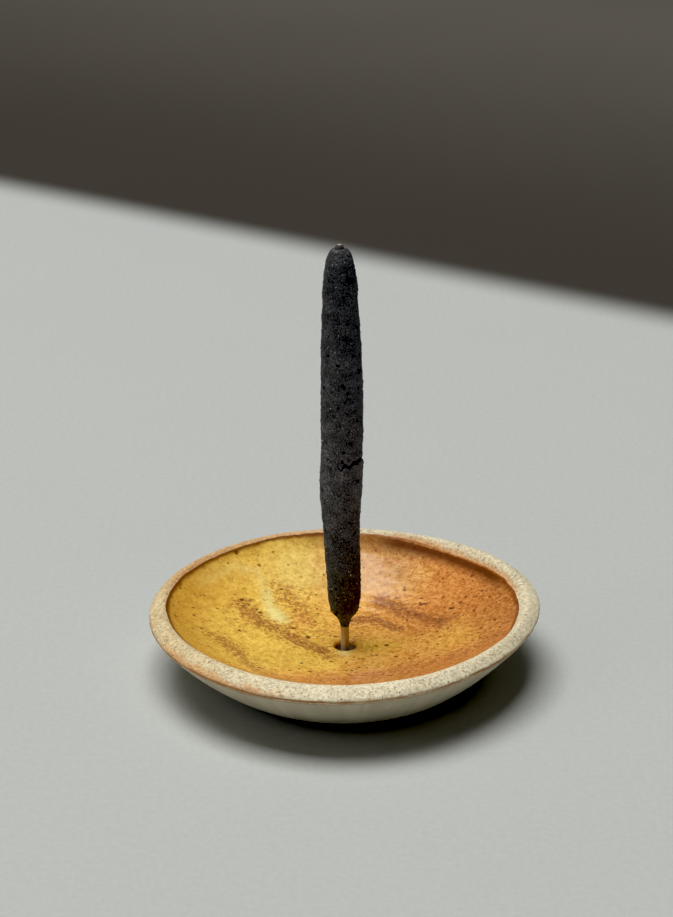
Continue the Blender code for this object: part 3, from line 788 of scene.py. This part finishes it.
def make_splint():
    cols, a = 72, None
    a = np.linspace(0, TAU, cols, endpoint=False)[None, :]
    z = np.concatenate([[CORE_BOTTOM_Z, CORE_BOTTOM_Z + 0.06, CORE_BOTTOM_Z + 0.18], np.linspace(CORE_BOTTOM_Z + 0.4, CORE_TOP_Z - 0.5, 300), [CORE_TOP_Z - 0.25, CORE_TOP_Z - 0.1, CORE_TOP_Z]])[::-1][:, None]
    ends = np.minimum(1.0, np.minimum((z - CORE_BOTTOM_Z) + 0.55, (CORE_TOP_Z - z) + 0.5) ** 0.5)
    # split bamboo: a soft-cornered section with long fibres
    square = 1 + 0.035 * np.cos(4 * a + 0.4) + 0.02 * np.cos(2 * a)
    fibre = 0.030 * vnoise(np.cos(a) * 3.2, np.sin(a) * 3.2, z / 26.0, 0.42, seed=111) + 0.012 * vnoise(np.cos(a) * 7, np.sin(a) * 7, z / 9.0, 0.5, seed=113)
    r = 0.915 * square * ends + fibre
    r = np.minimum(r, 0.98)
    x, y, zz = r * np.cos(a), r * np.sin(a), z + 0 * a
    zz = np.minimum(zz, CORE_TOP_Z)
    o = grid_mesh("bamboo_splint", x, y, zz, False, pole_start=(0, 0, CORE_TOP_Z - 0.02), pole_end=(0, 0, CORE_BOTTOM_Z))
    o.data.transform(LEAN_MATRIX)
    top = smooth(100.5, 103.5, zz)
    paint(o, "top", top, 2)
    f = 0.5 + 0.5 * vnoise(np.cos(a) * 5, np.sin(a) * 5, z / 30.0, 0.6, seed=117)
    paint(o, "fibre", f, 2)
    # darker rings on the splint: one just below the paste, one inside the socket
    low_darker_rings = np.exp(-(((zz - 11.0) / 2.2) ** 2)) * 0.6 + np.exp(-(((zz - 4.0) / 1.8) ** 2)) * 0.5
    paint(o, "low_darker_rings", low_darker_rings, 2)

    m = Mat("bamboo")
    v = m.mm()
    stretched = m.vec("MULTIPLY", v, (1.0, 1.0, 0.06))
    fibres = m.noise(stretched, 4.5, 6, 0.7)
    base = m.mix(m.attr("fibre"), (0.76, 0.62, 0.45), (0.88, 0.76, 0.57))
    base = m.mix(1.0, base, m.ramp(fibres, [(0.3, 0.72), (0.7, 1.12)]), "MULTIPLY")
    base = m.mix(m.math("MULTIPLY", m.attr("low_darker_rings"), 0.5), base, (0.20, 0.13, 0.08))
    base = m.mix(m.attr("top"), base, m.mix(fibres, (0.06, 0.058, 0.057), (0.17, 0.165, 0.16)))
    m.put(m.bsdf.inputs["Base Color"], base)
    m.put(m.bsdf.inputs["Roughness"], m.smooth(fibres, 0.3, 0.7, 0.55, 0.75))
    m.put(m.bsdf.inputs["Normal"], m.bump(fibres, 0.5, 0.05))
    o.data.materials.append(m.m)
    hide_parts("bamboo_core")
    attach(o, "stick")
    return o


PASTE_PROFILE = [  # height, radius
    (103.25, 1.15), (103.05, 1.62), (102.6, 2.05), (101.9, 2.45), (100.8, 2.9), (99.0, 3.35), (96.0, 3.72),
    (91.0, 4.02), (84.0, 4.36), (77.0, 4.55), (69.0, 4.76), (62.0, 4.76), (55.5, 4.68), (49.0, 4.80),
    (43.0, 4.60), (37.0, 4.25), (30.0, 4.05), (22.0, 3.88), (18.5, 3.68), (16.6, 3.42), (15.6, 3.18),
    (15.0, 2.82), (14.3, 2.28), (13.5, 1.72), (12.7, 1.34), (12.0, 1.12), (11.4, 1.02),
]


def paste_shift(z):
    return -0.5 * np.exp(-(((z - 40) / 13) ** 2)) + 0.08 * np.exp(-(((z - 72) / 9) ** 2))


def make_paste():
    cols = 204
    a = np.linspace(0, TAU, cols, endpoint=False)[None, :]
    line = catmull([(z, r) for z, r in PASTE_PROFILE], 0.05)
    length = np.concatenate([[0], np.cumsum(np.linalg.norm(np.diff(line, axis=0), axis=1))])
    s = np.arange(0, length[-1], 0.21)[:, None]
    z = np.interp(s, length, line[:, 0]) + 0 * a
    r = np.interp(s, length, line[:, 1]) + 0 * a
    r = r * (1 + 0.012 * np.cos(2 * a + z / 9.0))
    ca, sa = np.cos(a), np.sin(a)
    x, y = r * ca, r * sa
    body = smooth(1.0, 2.2, r)
    lumps = 0.15 * fbm(x, y, z, 4.5, 3, seed=121) + 0.11 * fbm(x, y, z, 1.5, 3, seed=123)
    d1, k1 = cells(x, y, z, 0.80, seed=131)
    grains = 0.26 * (0.55 - d1) * (0.3 + k1)
    d2, k2 = cells(x, y, z, 2.3, seed=141)
    pits = -0.42 * (1 - smooth(0.08, 0.22, d2)) * (k2 > 0.55)
    d3, k3 = cells(x, y, z, 4.1, seed=151)
    holes = -0.60 * (1 - smooth(0.06, 0.15, d3)) * (k3 > 0.60)
    h = (lumps + grains + pits + holes) * body
    # a shallow crack part of the way round, where two rolls of paste met
    theta = (a - math.radians(318) + math.pi) % TAU - math.pi
    path = 53.4 + 0.45 * np.sin(theta * 2.4 + 0.6) + 0.55 * vnoise(theta * 4.6, 0 * theta, 0 * theta, 1.0, seed=161)
    along = 1 - smooth(math.radians(44), math.radians(66), np.abs(theta))
    h = h - 0.85 * along * np.exp(-(((z - path) / 0.34) ** 2)) * (0.6 + 0.4 * vnoise(theta * 9, 0 * z, z, 1.0, seed=163))
    h = h + 0.18 * along * np.exp(-(((z - path + 0.95) / 0.6) ** 2)) + 0.10 * along * np.exp(-(((z - path - 0.95) / 0.6) ** 2))
    dent = np.exp(-((theta + 0.5) / 0.3) ** 2) * np.exp(-(((z - 58.5) / 0.9) ** 2))
    h = h - 0.22 * dent
    r2 = np.maximum(r + h, 0.98)
    x, y = r2 * ca + paste_shift(z), r2 * sa
    # the inside lies against the splint
    inner_z = np.array([11.6, 40.0, 75.0, 102.9])[:, None] + 0 * a
    ix, iy = 0.80 * ca + 0 * inner_z, 0.80 * sa + 0 * inner_z
    x, y, z_all = np.concatenate([x, ix]), np.concatenate([y, iy]), np.concatenate([z, inner_z])
    o = grid_mesh("charcoal_paste", x, y, z_all, True)
    o.data.transform(LEAN_MATRIX)
    nb = 4 * cols
    # painted shade in the pits, holes and crack: the lower the surface sits, the nearer black
    pit_shade_paint = np.clip((-h) / 0.25, 0, 1)
    paint(o, "pit_shade_paint", np.concatenate([pit_shade_paint.reshape(-1), np.zeros(nb)]))
    paint(o, "grain", np.concatenate([np.clip(k1, 0, 1).reshape(-1), np.zeros(nb)]))
    mid = 0.95 + 0.28 * smooth(92, 66, z) + 0.42 * np.exp(-(((z - 46.0) / 11.0) ** 2))
    paint(o, "mid", np.concatenate([mid.reshape(-1), np.zeros(nb)]))
    paint(o, "low", np.concatenate([smooth(58, 22, z).reshape(-1), np.zeros(nb)]))

    m = Mat("charcoal_paste")
    v = m.mm()
    powder = m.noise(v, 3.2, 8, 0.8)
    cloud = m.noise(v, 0.35, 5, 0.65)
    base = m.ramp(powder, [(0.34, (0.012, 0.012, 0.012)), (0.5, (0.066, 0.066, 0.065)), (0.64, (0.235, 0.235, 0.23))])
    base = m.mix(1.0, base, m.ramp(cloud, [(0.3, 0.7), (0.7, 1.5)]), "MULTIPLY")
    base = m.mix(1.0, base, m.attr("mid"), "MULTIPLY")
    ash = m.specks(v, 2.1, 0.12, 0.16)
    base = m.mix(m.math("MULTIPLY", ash, 0.55), base, (0.17, 0.17, 0.166))
    base = m.mix(m.attr("low"), base, m.mix(1.0, base, (0.76, 0.96, 1.07), "MULTIPLY"))
    # the painted shade in pits and crack
    base = m.mix(m.math("MULTIPLY", m.attr("pit_shade_paint"), 0.75), base, (0.003, 0.003, 0.003))
    m.put(m.bsdf.inputs["Base Color"], base)
    m.put(m.bsdf.inputs["Roughness"], m.smooth(m.noise(v, 2.2, 3), 0.35, 0.65, 0.95, 0.62))
    m.bsdf.inputs["Specular IOR Level"].default_value = 0.35
    coarse = m.bump(m.noise(v, 0.85, 3, 0.6), 0.9, 0.45)
    m.put(m.bsdf.inputs["Normal"], m.bump(powder, 0.9, 0.12, coarse))
    o.data.materials.append(m.m)
    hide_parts("incense_paste")
    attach(o, "stick")
    return o


def make_resin():
    """Small pale resin grains in the paste, thickest in its lower half."""
    rng = np.random.default_rng(7)
    bm = bmesh.new()
    heights = [p[0] for p in PASTE_PROFILE][::-1]
    radii = [p[1] for p in PASTE_PROFILE][::-1]
    count = 0
    while count < 210:
        z = rng.uniform(14.5, 101.0)
        if rng.uniform() > (1.0 if z < 24 else 0.55 if z < 50 else 0.16):
            continue
        angle = rng.uniform(0, TAU)
        r = float(np.interp(z, heights, radii))
        size = rng.choice([0.07, 0.10, 0.14, 0.19], p=[0.36, 0.34, 0.2, 0.10])
        centre = Vector(((r + 0.02) * math.cos(angle) + float(paste_shift(z)), (r + 0.02) * math.sin(angle), z)) * MM
        turn = Euler(rng.uniform(0, TAU, 3)).to_matrix().to_4x4()
        stretch = Matrix.Diagonal((*(size * MM * rng.uniform(0.7, 1.25, 3)), 1.0))
        bmesh.ops.create_icosphere(bm, subdivisions=1, radius=1.0, matrix=Matrix.Translation(centre) @ turn @ stretch)
        count += 1
    mesh = bpy.data.meshes.new("resin_grains")
    bm.to_mesh(mesh)
    bm.free()
    mesh.transform(LEAN_MATRIX)
    o = bpy.data.objects.new("resin_grains", mesh)
    scene.collection.objects.link(o)
    m = Mat("resin_grains")
    v = m.mm()
    tint = m.noise(v, 0.9, 2)
    base = m.ramp(tint, [(0.35, (0.22, 0.22, 0.21)), (0.5, (0.66, 0.65, 0.60)), (0.65, (0.92, 0.91, 0.87))])
    m.put(m.bsdf.inputs["Base Color"], base)
    m.put(m.bsdf.inputs["Roughness"], m.smooth(tint, 0.3, 0.7, 0.35, 0.12))
    m.put(m.bsdf.inputs["Normal"], m.bump(m.noise(v, 6.0, 2), 0.4, 0.03))
    o.data.materials.append(m.m)
    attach(o, "stick")
    return o


# =============================================================== floor
def make_floor():
    bm = bmesh.new()
    bmesh.ops.create_grid(bm, x_segments=8, y_segments=8, size=6.0)
    mesh = bpy.data.meshes.new("floor")
    bm.to_mesh(mesh)
    bm.free()
    o = bpy.data.objects.new("floor", mesh)
    scene.collection.objects.link(o)
    m = Mat("floor_paper")
    v = m.mm()
    base = m.mix(m.noise(v, 0.02, 3), (0.535, 0.558, 0.542), (0.56, 0.578, 0.562))
    base = m.mix(1.0, base, m.ramp(m.noise(v, 0.7, 4, 0.65), [(0.3, 0.955), (0.7, 1.035)]), "MULTIPLY")
    # past the far edge of the pale sheet the floor is painted in the colours of the dim wall behind, as painted shade:
    # darkest at the edge, lighter farther back, with a soft edge
    dot = m.t.nodes.new("ShaderNodeVectorMath")
    dot.operation = "DOT_PRODUCT"
    m.put(dot.inputs[0], v)
    dot.inputs[1].default_value = (0.5581, 0.8298, 0.0)
    away = m.math("SUBTRACT", dot.outputs["Value"], 272.6)
    dark = m.mix(m.smooth(away, 20.0, 430.0), (0.070, 0.063, 0.052), (0.130, 0.120, 0.104))
    dark = m.mix(1.0, dark, m.ramp(m.noise(v, 0.006, 1, 0.5), [(0.3, 0.98), (0.7, 1.03)]), "MULTIPLY")
    base = m.mix(m.smooth(away, -15.0, 13.0), base, dark)
    m.put(m.bsdf.inputs["Base Color"], base)
    m.bsdf.inputs["Roughness"].default_value = 0.92
    m.bsdf.inputs["Specular IOR Level"].default_value = 0.15
    o.data.materials.append(m.m)


make_floor()
make_clay()
make_inner_glaze()
make_outer_glaze()
make_splint()
make_paste()
make_resin()
